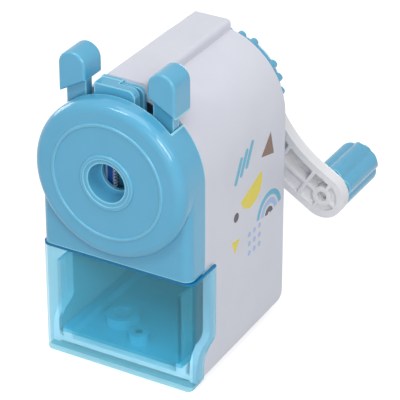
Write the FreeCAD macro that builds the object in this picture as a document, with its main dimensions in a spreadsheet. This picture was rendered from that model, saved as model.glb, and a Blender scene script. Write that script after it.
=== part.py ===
import FreeCAD, Part
import math
import os
from types import SimpleNamespace
from FreeCAD import Placement, Rotation, Vector
import Sketcher

# A crank pencil sharpener. X runs to the right, Y from the front to the crank, Z up from the table.
# The origin is on the table, under the middle of the casing.

# Driving sizes in millimetres and degrees, with what each one shapes
SIZES = (
    ("housing_width", 62.1, "casing, side to side, at its front"),
    ("housing_depth", 61.9, "casing, from its front joint to its rear face"),
    ("housing_rear", 32.8, "rear face of the casing, from the origin"),
    ("shell_draft", 0.5, "slope of the casing's outside"),
    ("shell_wall", 3.0, "side wall of the casing, at its front"),
    ("rear_wall", 2.2, "rear wall of the casing"),
    ("axis_height", 83.8, "pencil and crank axis, above the table"),
    ("ridge_width", 17.4, "flat ridge on the casing"),
    ("ridge_shift", 1.2, "ridge and tab, to the left of the middle"),
    ("ridge_rise", 2.95, "ridge, above the top of the arch"),
    ("ridge_edge_radius", 1.7, "ridge edges"),
    ("chin_top", 18.2, "side walls that run forward under the drawer's wings"),
    ("chin_reach", 6.5, "length of those walls, in front of the joint"),
    ("mouth_setback", 3.3, "front edge of the side walls, behind the joint"),
    ("heel_radius", 3.5, "lower rear edge of the casing"),
    ("foot_height", 3.8, "rubber feet, under the floor plate"),
    ("base_inset", 0.8, "floor plate, above the casing's lower edge"),
    ("foot_radius", 4.5, "rubber feet"),
    ("foot_inset_x", 7.55, "feet, inside the casing's sides"),
    ("foot_inset_y", 8.7, "feet, inside the casing's front and rear"),
    ("base_wall", 2.0, "floor plate"),
    ("boss_height", 4.0, "bosses and runners on the floor plate"),
    ("boss_radius", 4.0, "screw boss on the floor plate"),
    ("socket_radius", 4.0, "bore of the table clamp's socket"),
    ("socket_wall", 2.5, "wall of that socket"),
    ("socket_x", 12.0, "socket, to the left of the middle"),
    ("socket_y", 16.0, "socket, in front of the origin"),
    ("runner_width", 4.0, "runners under the drawer"),
    ("post_radius", 4.2, "screw posts inside the casing"),
    ("post_height", 25.0, "screw posts inside the casing"),
    ("post_spread", 28.0, "screw posts, side to side"),
    ("post_inset", 3.6, "screw posts, in front of the rear wall"),
    ("screw_radius", 1.5, "shank of the base and face screws"),
    ("screw_length", 9.0, "shank of the base screws"),
    ("screw_head_radius", 2.8, "head of the base and face screws"),
    ("screw_head_height", 1.4, "head of the base and face screws"),
    ("recess_length", 3.6, "cross recess in a screw's head"),
    ("recess_width", 0.9, "cross recess in a screw's head"),
    ("recess_depth", 0.9, "cross recess in a screw's head"),
    ("front_screw_y", 24.5, "front base screw, in front of the origin"),
    ("parting_gap", 0.2, "joint between the casing and the blue front"),
    ("face_width", 62.4, "blue front, side to side"),
    ("face_depth", 11.1, "blue front, apron to joint"),
    ("face_wall", 2.0, "wall of the blue front"),
    ("face_edge_radius", 3.5, "upright front edges of the apron"),
    ("disc_rise", 4.6, "disc, in front of the apron"),
    ("disc_edge_radius", 4.0, "rounded rim of the disc"),
    ("bead_radius", 22.4, "thin raised ring on the disc"),
    ("bead_width", 1.3, "thin raised ring on the disc"),
    ("bead_rise", 0.5, "thin raised ring on the disc"),
    ("collar_radius", 11.0, "raised collar round the pencil hole"),
    ("collar_width", 1.7, "raised collar round the pencil hole"),
    ("collar_rise", 0.7, "raised collar round the pencil hole"),
    ("entry_radius", 7.7, "pencil hole in the disc"),
    ("sleeve_radius", 9.2, "sleeve behind the pencil hole"),
    ("sleeve_length", 8.4, "sleeve behind the pencil hole"),
    ("sleeve_step_radius", 6.3, "narrow end of that sleeve"),
    ("sleeve_step", 1.4, "narrow end of that sleeve"),
    ("notch_width", 44.2, "opening in the top of the blue front"),
    ("notch_depth", 8.6, "opening in the top of the blue front"),
    ("plate_wall", 1.8, "plate behind the blue front"),
    ("plate_bore_radius", 5.6, "pencil hole in that plate"),
    ("tab_width", 16.6, "tab between the ears"),
    ("tab_depth", 5.6, "tab between the ears"),
    ("tab_lift", 2.1, "tab, above the lug between the clamp springs"),
    ("tab_notch_width", 8.4, "step at the tab's rear corner"),
    ("tab_notch_depth", 2.2, "step at the tab's rear corner"),
    ("tab_radius", 3.0, "rounded upper corner of the tab"),
    ("crest_step", 1.0, "plate behind the tab's step, below the tab"),
    ("ear_width", 11.0, "finger end of a lever"),
    ("ear_inner", 12.7, "inner side of a finger end, from the middle"),
    ("ear_top", 127.6, "top of a finger end"),
    ("ear_tip", 111.1, "outer lower corner of a finger end"),
    ("ear_heel", 117.3, "inner lower corner of a finger end"),
    ("ear_depth", 11.5, "finger end, front to rear"),
    ("ear_front", 6.5, "front of a finger end, from the plate behind the levers"),
    ("ear_edge_radius", 0.9, "front and rear edges of a finger end"),
    ("ear_travel", 2.6, "squeeze of each lever"),
    ("leg_inset", 1.9, "leg, inside the outer side of its finger end"),
    ("leg_setback", 1.0, "leg, outside the inner side of its finger end"),
    ("leg_bottom", 100.6, "lower end of the leg's full depth"),
    ("lever_wall", 1.8, "lever plate"),
    ("lever_gap", 0.3, "between the two lever plates and their guides"),
    ("lever_top", 100.2, "top of a lever plate"),
    ("lever_bottom", 72.0, "lower edge of a lever plate"),
    ("lever_reach", 13.0, "lever plate, past the middle"),
    ("window_height", 17.0, "pencil window in a lever plate"),
    ("window_far", 6.0, "far side of that window, behind the jaw"),
    ("window_near", 9.6, "near side of that window"),
    ("jaw_grip", 2.2, "tips of a jaw's teeth, from the pencil axis"),
    ("jaw_height", 15.0, "toothed jaw"),
    ("jaw_tooth", 1.0, "depth of a jaw's teeth"),
    ("jaw_pitch", 1.2, "between a jaw's teeth, before they are spaced to fit"),
    ("lug_width", 6.0, "lug between the two clamp springs"),
    ("clamp_spring_z", 104.2, "clamp springs, above the table"),
    ("clamp_spring_radius", 1.8, "clamp springs, to the wire's middle"),
    ("clamp_spring_wire", 0.5, "wire of the clamp springs"),
    ("clamp_spring_turns", 7.0, "turns of the clamp springs"),
    ("face_screw_x", 7.2, "lower face screws, inside the blue front's walls"),
    ("face_screw_high_x", 3.2, "upper face screws, inside the blue front's walls"),
    ("face_screw_high", 88.0, "upper face screws, above the table"),
    ("face_screw_low", 56.0, "lower face screws, above the table"),
    ("face_boss_radius", 2.6, "screw bosses inside the blue front"),
    ("slide_travel", 30.0, "pull of the blue front"),
    ("rod_radius", 2.0, "guide rods"),
    ("rod_x", 6.05, "guide rods, inside the casing's walls"),
    ("rod_z", 66.0, "guide rods, above the table"),
    ("rod_end_gap", 1.0, "guide rods, in front of the rear wall"),
    ("rod_fit", 0.05, "running fit of rods, shafts and axles"),
    ("clip_radius", 4.4, "clips on the guide rods"),
    ("clip_width", 1.4, "clips on the guide rods"),
    ("bush_wall", 1.6, "bushes round the guide rods"),
    ("return_spring_radius", 3.3, "return springs, to the wire's middle"),
    ("return_spring_wire", 0.7, "wire of the return springs"),
    ("return_spring_turns", 12.0, "turns of the return springs"),
    ("bulkhead_inset", 13.1, "bulkhead, behind the casing's front"),
    ("bulkhead_wall", 2.4, "bulkhead"),
    ("bulkhead_lift", 2.0, "bulkhead, above the drawer"),
    ("spigot_radius", 7.0, "front bearing of the cutter cage"),
    ("front_bush_wall", 2.0, "bush of the front bearing"),
    ("pencil_radius", 4.6, "pencil way through the cage"),
    ("barrel_radius", 17.0, "drum in the casing's rear wall"),
    ("barrel_wall", 2.4, "drum"),
    ("barrel_reach", 11.8, "drum, inside the casing"),
    ("collar_gap", 0.3, "on each side of the lock collar"),
    ("collar_depth", 14.0, "lock collar"),
    ("collar_base_radius", 21.0, "lock collar, between its bumps"),
    ("bump_radius", 1.75, "grip bumps of the lock collar"),
    ("bump_groups", 4.0, "groups of bumps round the lock collar"),
    ("group_bumps", 5.0, "bumps in each group, with one left out between groups"),
    ("bump_start", 63.6, "place of the first bump"),
    ("flange_radius", 20.3, "rear flange of the drum"),
    ("flange_wall", 1.0, "rear flange of the drum"),
    ("end_wall", 2.2, "rear wall of the drum"),
    ("gear_module", 1.0, "height unit of the gear teeth"),
    ("ring_rim", 1.35, "ring gear, outside its teeth"),
    ("ring_width", 4.0, "ring gear"),
    ("ring_teeth", 24.0, "ring gear"),
    ("pinion_teeth", 15.0, "pinion on the cutter"),
    ("pinion_width", 3.5, "pinion on the cutter"),
    ("tooth_share", 0.72, "share of its half pitch that a tooth fills"),
    ("tooth_slope", 25.0, "slope of a tooth's sides"),
    ("cutter_tilt", 11.0, "lean of the cutter's axle"),
    ("cutter_radius", 5.0, "tips of the cutter's blades"),
    ("cutter_core_radius", 4.1, "between the cutter's blades"),
    ("cutter_length", 33.0, "cutter"),
    ("cutter_blades", 12.0, "blades of the cutter"),
    ("cutter_twist", 60.0, "turn of each blade along the cutter"),
    ("axle_radius", 1.5, "axle of the cutter"),
    ("cage_gap", 0.4, "cutter cage, in front of the drum's rear wall"),
    ("cage_disc", 4.2, "rear disc of the cutter cage"),
    ("cage_radius", 10.5, "rear disc and spine of the cage"),
    ("cage_front_radius", 14.0, "front disc of the cage"),
    ("cage_front_disc", 4.0, "front disc of the cage"),
    ("axle_socket", 1.4, "axle's end in the rear disc of the cage"),
    ("axle_front_socket", 3.2, "axle's end in the front disc of the cage"),
    ("spine_width", 9.0, "spine of the cage"),
    ("spine_clear", 5.4, "spine, from the pencil axis"),
    ("gear_setback", 4.2, "middle of the pinion, in front of the rear disc"),
    ("shaft_radius", 3.5, "drive shaft"),
    ("rear_bush_wall", 2.0, "bush of the drive shaft"),
    ("arm_gap", 0.3, "crank arm, behind the flange"),
    ("arm_depth", 6.6, "crank arm, front to rear"),
    ("arm_angle", 31.2, "straight part of the crank arm, below level"),
    ("arm_run", 54.2, "crank axis to knob, along the arm"),
    ("arm_drop", 14.94, "crank axis to knob, across the arm"),
    ("arm_low_run", 25.0, "straight lower side of the arm"),
    ("arm_high_run", 8.0, "straight upper side of the arm"),
    ("hub_radius", 14.0, "crank arm at its hub"),
    ("tip_radius", 9.2, "crank arm at its tip"),
    ("arm_rim", 2.9, "rim round the arm's hollows"),
    ("arm_floor", 1.8, "rear wall of the arm"),
    ("arm_shallow", 1.4, "shallow hollows along the arm's lower side and round its tip"),
    ("arm_rib", 1.5, "ribs in the arm's hollows"),
    ("arm_rib_start", 8.0, "first cross rib, from the knob's axis"),
    ("arm_rib_pitch", 13.5, "between cross ribs"),
    ("arm_ribs", 4.0, "cross ribs between the knob and the hub"),
    ("arm_edge_radius", 2.0, "rear edge of the arm"),
    ("hub_boss_radius", 7.0, "boss round the drive shaft"),
    ("tip_boss_radius", 4.0, "boss round the knob's pin"),
    ("pin_radius", 2.0, "pin of the knob"),
    ("pin_recess", 2.6, "front end of the pin, inside the arm"),
    ("knob_gap", 0.4, "knob, behind the arm"),
    ("knob_length", 26.4, "knob"),
    ("knob_radius", 9.0, "knob, over its lobes"),
    ("knob_lobe_radius", 4.0, "each lobe of the knob"),
    ("knob_lobes", 6.0, "lobes of the knob"),
    ("knob_groove", 1.4, "deepest groove between two lobes"),
    ("knob_turn", 18.0, "place of the first lobe"),
    ("knob_end_radius", 2.4, "rounded outer end of the knob"),
    ("knob_inner_radius", 0.8, "rounded end of the knob at the arm"),
    ("knob_end_wall", 3.0, "closed end of the knob"),
    ("crank_screw_radius", 4.2, "head of the crank's screw"),
    ("crank_screw_height", 1.8, "head of the crank's screw"),
    ("drawer_inset", 0.4, "drawer's front, behind the apron's front"),
    ("drawer_ground_gap", 1.6, "drawer, above the table"),
    ("drawer_top", 48.0, "drawer's top edge, above the table"),
    ("drawer_wall", 1.6, "front wall of the drawer"),
    ("drawer_edge_radius", 3.2, "rounded upright edges of the drawer"),
    ("drawer_base_radius", 2.2, "rounded lower side edges of the drawer"),
    ("lining_radius", 0.4, "inner lower side edges of the drawer"),
    ("drawer_floor", 1.2, "lip under the casing"),
    ("wing_gap", 0.15, "between the casing and a wing"),
    ("wing_wall", 0.9, "wings of the drawer"),
    ("wing_reach", 17.3, "wings of the drawer, front to rear"),
    ("wing_step", 17.1, "where a wing narrows, above the table"),
    ("lip_reach", 8.35, "lower part of a wing"),
    ("tray_side", 1.55, "tray, inside the casing's walls"),
    ("tray_end", 14.0, "tray, in front of the rear wall"),
    ("tray_height", 30.9, "tray behind the drawer's front"),
    ("tray_wall", 1.4, "tray behind the drawer's front"),
    ("tray_gap", 0.3, "tray, above its runners"),
    ("apron_gap", 0.5, "apron, above the drawer"),
)

doc = FreeCAD.newDocument("pencil_sharpener")
sheet = doc.addObject("Spreadsheet::Sheet", "sizes")
for row, (name, value, note) in enumerate(SIZES, 1):
    sheet.set(f"A{row}", name)
    sheet.set(f"B{row}", str(value))
    sheet.set(f"C{row}", note)
    sheet.setAlias(f"B{row}", name)
doc.recompute()


class Size(float):
    """A number that remembers the formula it was worked out by."""

    def __new__(cls, value, formula):
        number = super().__new__(cls, value)
        number.formula = formula
        return number

    def __add__(self, other):
        return Size(float(self) + float(other), f"({self.formula} + {formula_of(other)})")

    def __radd__(self, other):
        return Size(float(other) + float(self), f"({formula_of(other)} + {self.formula})")

    def __sub__(self, other):
        return Size(float(self) - float(other), f"({self.formula} - {formula_of(other)})")

    def __rsub__(self, other):
        return Size(float(other) - float(self), f"({formula_of(other)} - {self.formula})")

    def __mul__(self, other):
        return Size(float(self) * float(other), f"({self.formula} * {formula_of(other)})")

    def __rmul__(self, other):
        return Size(float(other) * float(self), f"({formula_of(other)} * {self.formula})")

    def __rtruediv__(self, other):
        return Size(float(other) / float(self), f"({formula_of(other)} / {self.formula})")

    def __truediv__(self, other):
        return Size(float(self) / float(other), f"({self.formula} / {formula_of(other)})")

    def __neg__(self):
        return Size(-float(self), f"(-{self.formula})")


def formula_of(number):
    return getattr(number, "formula", repr(float(number)))


def cosine(angle):
    return Size(math.cos(math.radians(angle)), f"cos({formula_of(angle)})")


def sine(angle):
    return Size(math.sin(math.radians(angle)), f"sin({formula_of(angle)})")


d = SimpleNamespace(**{name: Size(sheet.get(name), f"sizes.{name}") for name, _, _ in SIZES})

PIECES = []
NOTHING = Size(0.0, "0")
OVERCUT = 1.0
# Share of a raised ring's height that its rounded edge takes up
BEAD_ROUND = 0.8
# Shape of the S curves on the casing and the wings, as shares of their step
CURVE_DROP = 0.364
CURVE_UPPER = 0.35
CURVE_LOWER = 0.85
# Reach of a gear tooth beyond its pitch circle and depth of its root, in modules
TIP_SHARE = 0.5
ROOT_SHARE = 1.25
# One blade of the cutter: shares of its pitch at the foot, over the tip and back at the foot
BLADE_SHARES = (0.0, 0.12, 0.3, 0.72)
BLADE_SLICES = 10
TURN = {"x": Rotation(Vector(0, 1, 0), 90), "y": Rotation(Vector(1, 0, 0), -90), "z": Rotation()}


def bind(obj, prop, number):
    """Set a property and, where the number has a formula, keep it tied to the sheet."""
    if hasattr(number, "formula"):
        obj.setExpression(prop, number.formula)
    else:
        obj.setExpression(prop, repr(float(number)))


def place(obj, x=0.0, y=0.0, z=0.0):
    for axis, number in (("x", x), ("y", y), ("z", z)):
        bind(obj, f"Placement.Base.{axis}", number)


def block(x, y, z):
    """A box between low and high faces on each axis."""
    obj = doc.addObject("Part::Box", "block")
    for prop, (low, high) in (("Length", x), ("Width", y), ("Height", z)):
        bind(obj, prop, high - low)
    place(obj, x[0], y[0], z[0])
    return obj


def rod(axis, centre, span, radius):
    """A cylinder along an axis; centre is the other two coordinates in X, Y, Z order."""
    obj = doc.addObject("Part::Cylinder", "rod")
    obj.Placement = Placement(Vector(), TURN[axis])
    bind(obj, "Radius", radius)
    bind(obj, "Height", span[1] - span[0])
    other = list(centre)
    other.insert("xyz".index(axis), span[0])
    place(obj, *other)
    return obj


def axial(span, radius):
    """A cylinder on the pencil axis, between two Y planes."""
    return rod("y", (0.0, axis_z), span, radius)


def fuse(*shapes):
    obj = doc.addObject("Part::MultiFuse", "fuse")
    obj.Shapes = list(shapes)
    obj.Refine = True
    return obj


def cut(base, *tools):
    obj = doc.addObject("Part::Cut", "cut")
    obj.Base = base
    obj.Tool = tools[0] if len(tools) == 1 else fuse(*tools)
    obj.Refine = True
    return obj


def common(*shapes):
    obj = doc.addObject("Part::MultiCommon", "common")
    obj.Shapes = list(shapes)
    obj.Refine = True
    return obj


def rounded(base, *rules):
    """Round the edges that each rule (test, radius) picks."""
    doc.recompute()
    obj = doc.addObject("Part::Fillet", "rounded")
    obj.Base = base
    edges = []
    for number, edge in enumerate(base.Shape.Edges, 1):
        for test, radius in rules:
            if test(edge):
                edges.append((number, float(radius), float(radius)))
                break
    obj.Edges = edges
    return obj


def near(a, b):
    return abs(a - b) < 1e-4


def along(axis, **at):
    """A test for straight edges along an axis, at the given other coordinates."""
    def test(edge):
        box = edge.BoundBox
        low = {"x": box.XMin, "y": box.YMin, "z": box.ZMin}
        high = {"x": box.XMax, "y": box.YMax, "z": box.ZMax}
        if near(low[axis], high[axis]):
            return False
        flat = all(near(low[other], high[other]) for other in "xyz" if other != axis)
        return flat and all(near(low[key], value) for key, value in at.items())
    return test


def ring_at(y, radius):
    """A test for round edges of a radius in the plane of that Y."""
    def test(edge):
        round_edge = isinstance(edge.Curve, Part.Circle) and near(edge.Curve.Radius, radius)
        return round_edge and near(edge.BoundBox.YMin, y) and near(edge.BoundBox.YMax, y)
    return test


def piece(label, obj):
    obj.Label = label
    PIECES.append(obj)
    return obj


def solid_feature(label, shape, at=None):
    """A piece whose shape is worked out directly; its place is set after its shape."""
    obj = doc.addObject("Part::Feature", label)
    obj.Shape = shape
    if at is not None:
        obj.Placement = at
    return piece(label, obj)


def copies(label, source, places):
    """Equal pieces in one node, each a separate solid."""
    doc.recompute()
    solids = [source.Shape.copy() for _ in places]
    for solid, at in zip(solids, places):
        solid.translate(Vector(*at))
    return solid_feature(label, Part.makeCompound(solids))


def sketch_on(body, role, lift=0.0):
    sketch = body.newObject("Sketcher::SketchObject", "outline")
    plane = next(item for item in body.Origin.OriginFeatures if item.Role == role)
    sketch.AttachmentSupport = [(plane, "")]
    sketch.MapMode = "FlatFace"
    bind(sketch, "AttachmentOffset.Base.z", lift)
    return sketch


def fix_point(sketch, geometry, position, x, y):
    """Tie a sketch point to the sketch's origin by its two coordinates."""
    for kind, number in (("DistanceX", x), ("DistanceY", y)):
        if number is None:
            continue
        index = sketch.addConstraint(Sketcher.Constraint(kind, -1, 1, geometry, position, float(number)))
        bind(sketch, f"Constraints[{index}]", number)


def polygon(sketch, corners):
    """A closed chain of lines through corners tied to the sheet."""
    count = len(corners)
    for i, (x, y) in enumerate(corners):
        end_x, end_y = corners[(i + 1) % count]
        sketch.addGeometry(Part.LineSegment(Vector(x, y, 0), Vector(end_x, end_y, 0)), False)
    for i in range(count):
        sketch.addConstraint(Sketcher.Constraint("Coincident", i, 2, (i + 1) % count, 1))
    for i, (x, y) in enumerate(corners):
        fix_point(sketch, i, 1, x, y)


def pad(body, sketch, length, backwards):
    feature = body.newObject("PartDesign::Pad", "pad")
    feature.Profile = sketch
    bind(feature, "Length", length)
    feature.Reversed = backwards
    return feature


# Planes that several pieces share
half = d.housing_width / 2
inside = half - d.shell_wall
rear = d.housing_rear
front = rear - d.housing_depth
chin_front = front - d.chin_reach
axis_z = d.axis_height
floor = d.foot_height
floor_top = floor + d.base_wall
boss_top = floor_top + d.boss_height
ridge_left = -d.ridge_width / 2 - d.ridge_shift
ridge_right = d.ridge_width / 2 - d.ridge_shift
shell_low = floor - d.base_inset
ridge_top = axis_z + half + d.ridge_rise
crest_top = ridge_top - d.parting_gap

face_half = d.face_width / 2
face_rear = front - d.parting_gap
apron_front = face_rear - d.face_depth
disc_front = apron_front - d.disc_rise
apron_bottom = d.drawer_top + d.apron_gap
face_inside = face_half - d.face_wall
plate_front = face_rear - d.plate_wall
slot_front = plate_front - 2 * d.lever_wall - 3 * d.lever_gap
tab_right = d.tab_width / 2 - d.ridge_shift
tab_step = tab_right - d.tab_notch_width
lug_top = d.clamp_spring_z + d.clamp_spring_radius + d.clamp_spring_wire

bulkhead_front = front + d.bulkhead_inset
bulkhead_rear = bulkhead_front + d.bulkhead_wall
bulkhead_bottom = d.drawer_top + d.bulkhead_lift
rear_inside = rear - d.rear_wall
rod_side = inside - d.rod_x
mouth_y = front + d.mouth_setback

collar_front = rear + d.collar_gap
collar_rear = collar_front + d.collar_depth
collar_bore = d.barrel_radius + d.rod_fit
flange_front = collar_rear + d.collar_gap
flange_rear = flange_front + d.flange_wall
barrel_front = rear - d.barrel_reach
barrel_inside = d.barrel_radius - d.barrel_wall
end_front = flange_front - d.end_wall

leg_inner = d.ear_inner + d.leg_setback
cage_rear = end_front - d.cage_gap
disc_face = cage_rear - d.cage_disc
axle_seat = disc_face + d.axle_socket
gear_y = disc_face - d.gear_setback
tilt_cos = cosine(d.cutter_tilt)
tilt_sin = sine(d.cutter_tilt)
ring_pitch = barrel_inside - d.ring_rim - ROOT_SHARE * d.gear_module
pinion_pitch = ring_pitch * d.pinion_teeth / d.ring_teeth
gear_offset = ring_pitch - pinion_pitch * tilt_cos
mesh_y = gear_y + pinion_pitch * tilt_sin
cutter_start = d.pinion_width / 2
cutter_end = cutter_start + d.cutter_length
cage_front_rear = gear_y - cutter_end * tilt_cos - d.cutter_radius * tilt_sin - d.cage_gap
cage_front_face = cage_front_rear - d.cage_front_disc
spigot_front = bulkhead_front - d.bulkhead_wall / 2

arm_front = flange_rear + d.arm_gap
arm_rear = arm_front + d.arm_depth
arm_cos = cosine(d.arm_angle)
arm_sin = sine(d.arm_angle)
tip_x = d.arm_run * arm_cos - d.arm_drop * arm_sin
tip_z = axis_z - d.arm_run * arm_sin - d.arm_drop * arm_cos

drawer_front = apron_front + d.drawer_inset
drawer_inner = drawer_front + d.drawer_wall
drawer_half = half + d.wing_gap + d.wing_wall
wing_inner = half + d.wing_gap
wing_rear = drawer_front + d.wing_reach
lip_rear = drawer_front + d.lip_reach
tray_half = inside - d.tray_side
tray_rear = rear_inside - d.tray_end
tray_bottom = boss_top + d.tray_gap
tray_top = tray_bottom + d.tray_height
screw_posts = [(side * d.post_spread / 2, rear_inside - d.post_inset) for side in (-1, 1)]
front_screw = (NOTHING, -d.front_screw_y)


# Casing

def housing_outside():
    """The arched section with its ridge, padded to the rear with a slight draft."""
    body = doc.addObject("PartDesign::Body", "housing_outside")
    sketch = sketch_on(body, "XZ_Plane", -chin_front)
    turns = [math.acos(float(side) / float(half)) for side in (ridge_right, ridge_left)]
    feet = [float(axis_z) + float(half) * math.sin(turn) for turn in turns]
    corners = {"a": (-half, shell_low), "b": (half, shell_low), "c": (half, axis_z),
               "d": (ridge_right, feet[0]), "e": (ridge_right, ridge_top), "f": (ridge_left, ridge_top),
               "g": (ridge_left, feet[1]), "h": (-half, axis_z)}
    circle = Part.Circle(Vector(0, axis_z, 0), Vector(0, 0, 1), half)
    sides = [("a", "b"), ("b", "c"), (0.0, turns[0]), ("d", "e"), ("e", "f"), ("f", "g"),
             (turns[1], math.pi), ("h", "a")]
    for first, last in sides:
        if isinstance(first, str):
            line = Part.LineSegment(Vector(*corners[first], 0), Vector(*corners[last], 0))
            sketch.addGeometry(line, False)
        else:
            sketch.addGeometry(Part.ArcOfCircle(circle, first, last), False)
    for number in range(len(sides)):
        sketch.addConstraint(Sketcher.Constraint("Coincident", number, 2, (number + 1) % len(sides), 1))
    for number, name in ((0, "a"), (1, "b"), (4, "e"), (5, "f"), (7, "h")):
        fix_point(sketch, number, 1, *corners[name])
    fix_point(sketch, 1, 2, *corners["c"])
    fix_point(sketch, 3, 1, ridge_right, None)
    fix_point(sketch, 5, 2, ridge_left, None)
    for arc in (2, 6):
        sketch.addConstraint(Sketcher.Constraint("PointOnObject", arc, 3, -2))
        fix_point(sketch, arc, 3, None, axis_z)
    feature = pad(body, sketch, rear - chin_front, True)
    bind(feature, "TaperAngle", -d.shell_draft)
    return body


def step_corners(top, step):
    """Heights of the two corners of an S curve that steps forward below a height."""
    return top, top - CURVE_DROP * step


def prism_x(corners, reach):
    """A polygon in Y and Z, padded from one side to the other."""
    body = doc.addObject("PartDesign::Body", "prism")
    sketch = sketch_on(body, "YZ_Plane", -reach)
    polygon(sketch, corners)
    pad(body, sketch, 2 * reach, False)
    return body


def housing_shell():
    high = ridge_top + OVERCUT
    upper, lower = step_corners(d.chin_top, mouth_y - chin_front)
    mouth = prism_x([(chin_front - OVERCUT, high), (front, high), (front, apron_bottom),
                     (mouth_y, apron_bottom), (mouth_y, upper), (chin_front, lower),
                     (chin_front - OVERCUT, lower)], half + OVERCUT)
    step = mouth_y - chin_front
    outer = rounded(
        cut(housing_outside(), mouth),
        (along("x", y=mouth_y, z=upper), CURVE_UPPER * step),
        (along("x", y=chin_front, z=lower), CURVE_LOWER * step),
        (lambda edge: along("x", y=rear)(edge) and edge.BoundBox.ZMax < axis_z, d.heel_radius),
        (ridge_edge, d.ridge_edge_radius),
    )
    hollow = block((-inside, inside), (chin_front - OVERCUT, rear_inside), (shell_low - OVERCUT, axis_z))
    vault = axial((front - OVERCUT, rear_inside), inside)
    opening = axial((rear_inside - OVERCUT, rear + OVERCUT), d.barrel_radius)
    shell = cut(outer, hollow, vault, opening)
    posts = []
    bores = []
    for x, y in screw_posts:
        posts.append(rod("z", (x, y), (floor_top, floor_top + d.post_height), d.post_radius))
        screw_top = floor + d.screw_length + d.screw_head_height
        bores.append(rod("z", (x, y), (floor, screw_top), d.screw_radius))
    trimmed = common(fuse(*posts), block((-inside, inside), (front, rear - d.rear_wall / 2),
                                         (floor_top, axis_z)))
    piece("housing_shell", cut(fuse(shell, trimmed), *bores))


def ridge_edge(edge):
    """The two long upper edges of the ridge."""
    box = edge.BoundBox
    return box.YLength > d.housing_depth / 2 and box.ZMin > ridge_top - d.ridge_rise


def base_plate():
    plate = block((-inside, inside), (chin_front, rear_inside), (floor, floor_top))
    solids = [plate]
    for side in (-1, 1):
        edges = sorted((side * tray_half, side * (tray_half - d.runner_width)))
        solids.append(block(edges, (chin_front, tray_rear), (floor, boss_top)))
    solids.append(rod("z", front_screw, (floor, boss_top), d.boss_radius))
    socket = (-d.socket_x, -d.socket_y)
    solids.append(rod("z", socket, (floor, boss_top), d.socket_radius + d.socket_wall))
    holes = [rod("z", socket, (floor - OVERCUT, boss_top + OVERCUT), d.socket_radius)]
    for x, y in screw_posts + [front_screw]:
        holes.append(rod("z", (x, y), (floor - OVERCUT, boss_top + OVERCUT), d.screw_radius))
        holes.append(rod("z", (x, y), (floor - OVERCUT, floor + d.screw_head_height), d.screw_head_radius))
    piece("base_plate", cut(fuse(*solids), *holes))


def cross_slots(axis, centre, span):
    """Two crossed slots for a screwdriver; centre is the other two coordinates in X, Y, Z order."""
    slots = []
    for first, second in ((d.recess_length, d.recess_width), (d.recess_width, d.recess_length)):
        ranges = [(middle - size / 2, middle + size / 2) for middle, size in zip(centre, (first, second))]
        ranges.insert("xyz".index(axis), span)
        slots.append(block(*ranges))
    return slots


def screw_body(length):
    """A pan-head screw that points up, turned about its own axis, with a cross recess under its head."""
    body = doc.addObject("PartDesign::Body", "screw")
    sketch = sketch_on(body, "XZ_Plane")
    corners = [(NOTHING, NOTHING), (d.screw_head_radius, NOTHING),
               (d.screw_head_radius, d.screw_head_height),
               (d.screw_radius, d.screw_head_height), (d.screw_radius, d.screw_head_height + length),
               (NOTHING, d.screw_head_height + length)]
    polygon(sketch, corners)
    turned = body.newObject("PartDesign::Revolution", "turned")
    turned.Profile = sketch
    turned.ReferenceAxis = (sketch, ["V_Axis"])
    turned.Angle = 360.0
    return cut(body, *cross_slots("z", (0.0, 0.0), (-OVERCUT, d.recess_depth)))


def base_screws():
    screw = screw_body(d.screw_length)
    places = [(x, y, floor) for x, y in screw_posts]
    short = screw_body(d.base_wall + d.boss_height - d.screw_head_height)
    doc.recompute()
    solids = []
    for source, spots in ((screw, places), (short, [(*front_screw, floor)])):
        for at in spots:
            solid = source.Shape.copy()
            solid.translate(Vector(*at))
            solids.append(solid)
    solid_feature("base_screws", Part.makeCompound(solids))


def rubber_feet():
    foot = rod("z", (0.0, 0.0), (NOTHING, floor), d.foot_radius)
    side = half - d.foot_inset_x
    ends = (chin_front + d.foot_inset_y, rear - d.foot_inset_y)
    places = [(x, y, 0) for x in (-side, side) for y in ends]
    places.append((0, 0, 0))
    copies("rubber_feet", foot, places)


# Drawer

def rounded_cap(x, y, z, upright, base):
    """A box with rounded upright front edges and rounded lower side edges."""
    plan = rounded(block(x, y, z), (along("z", y=y[0]), upright))
    section = rounded(block(x, y, z), (along("y", z=z[0]), base))
    return common(plan, section)


def shavings_drawer():
    bottom = d.drawer_ground_gap
    outer = rounded_cap((-drawer_half, drawer_half), (drawer_front, wing_rear), (bottom, d.drawer_top),
                        d.drawer_edge_radius, d.drawer_base_radius)
    lining = rounded_cap((-wing_inner, wing_inner), (drawer_inner, wing_rear + OVERCUT),
                         (bottom + d.drawer_floor, d.drawer_top + OVERCUT),
                         d.drawer_edge_radius - d.drawer_wall, d.lining_radius)
    step = wing_rear - lip_rear
    upper, lower = step_corners(d.wing_step, step)
    relief = prism_x([(lip_rear, bottom - OVERCUT), (wing_rear + OVERCUT, bottom - OVERCUT),
                      (wing_rear + OVERCUT, upper), (wing_rear, upper), (lip_rear, lower)],
                     drawer_half + OVERCUT)
    curved = rounded(
        cut(outer, relief),
        (along("x", y=wing_rear, z=upper), CURVE_UPPER * step),
        (along("x", y=lip_rear, z=lower), CURVE_LOWER * step),
    )
    tray = block((-tray_half, tray_half), (drawer_inner, tray_rear), (tray_bottom, tray_top))
    space = block((d.tray_wall - tray_half, tray_half - d.tray_wall),
                  (drawer_inner, tray_rear - d.tray_wall),
                  (tray_bottom + d.tray_wall, tray_top + OVERCUT))
    piece("shavings_drawer", fuse(cut(curved, lining), cut(tray, space)))


# Blue front, which slides

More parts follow.
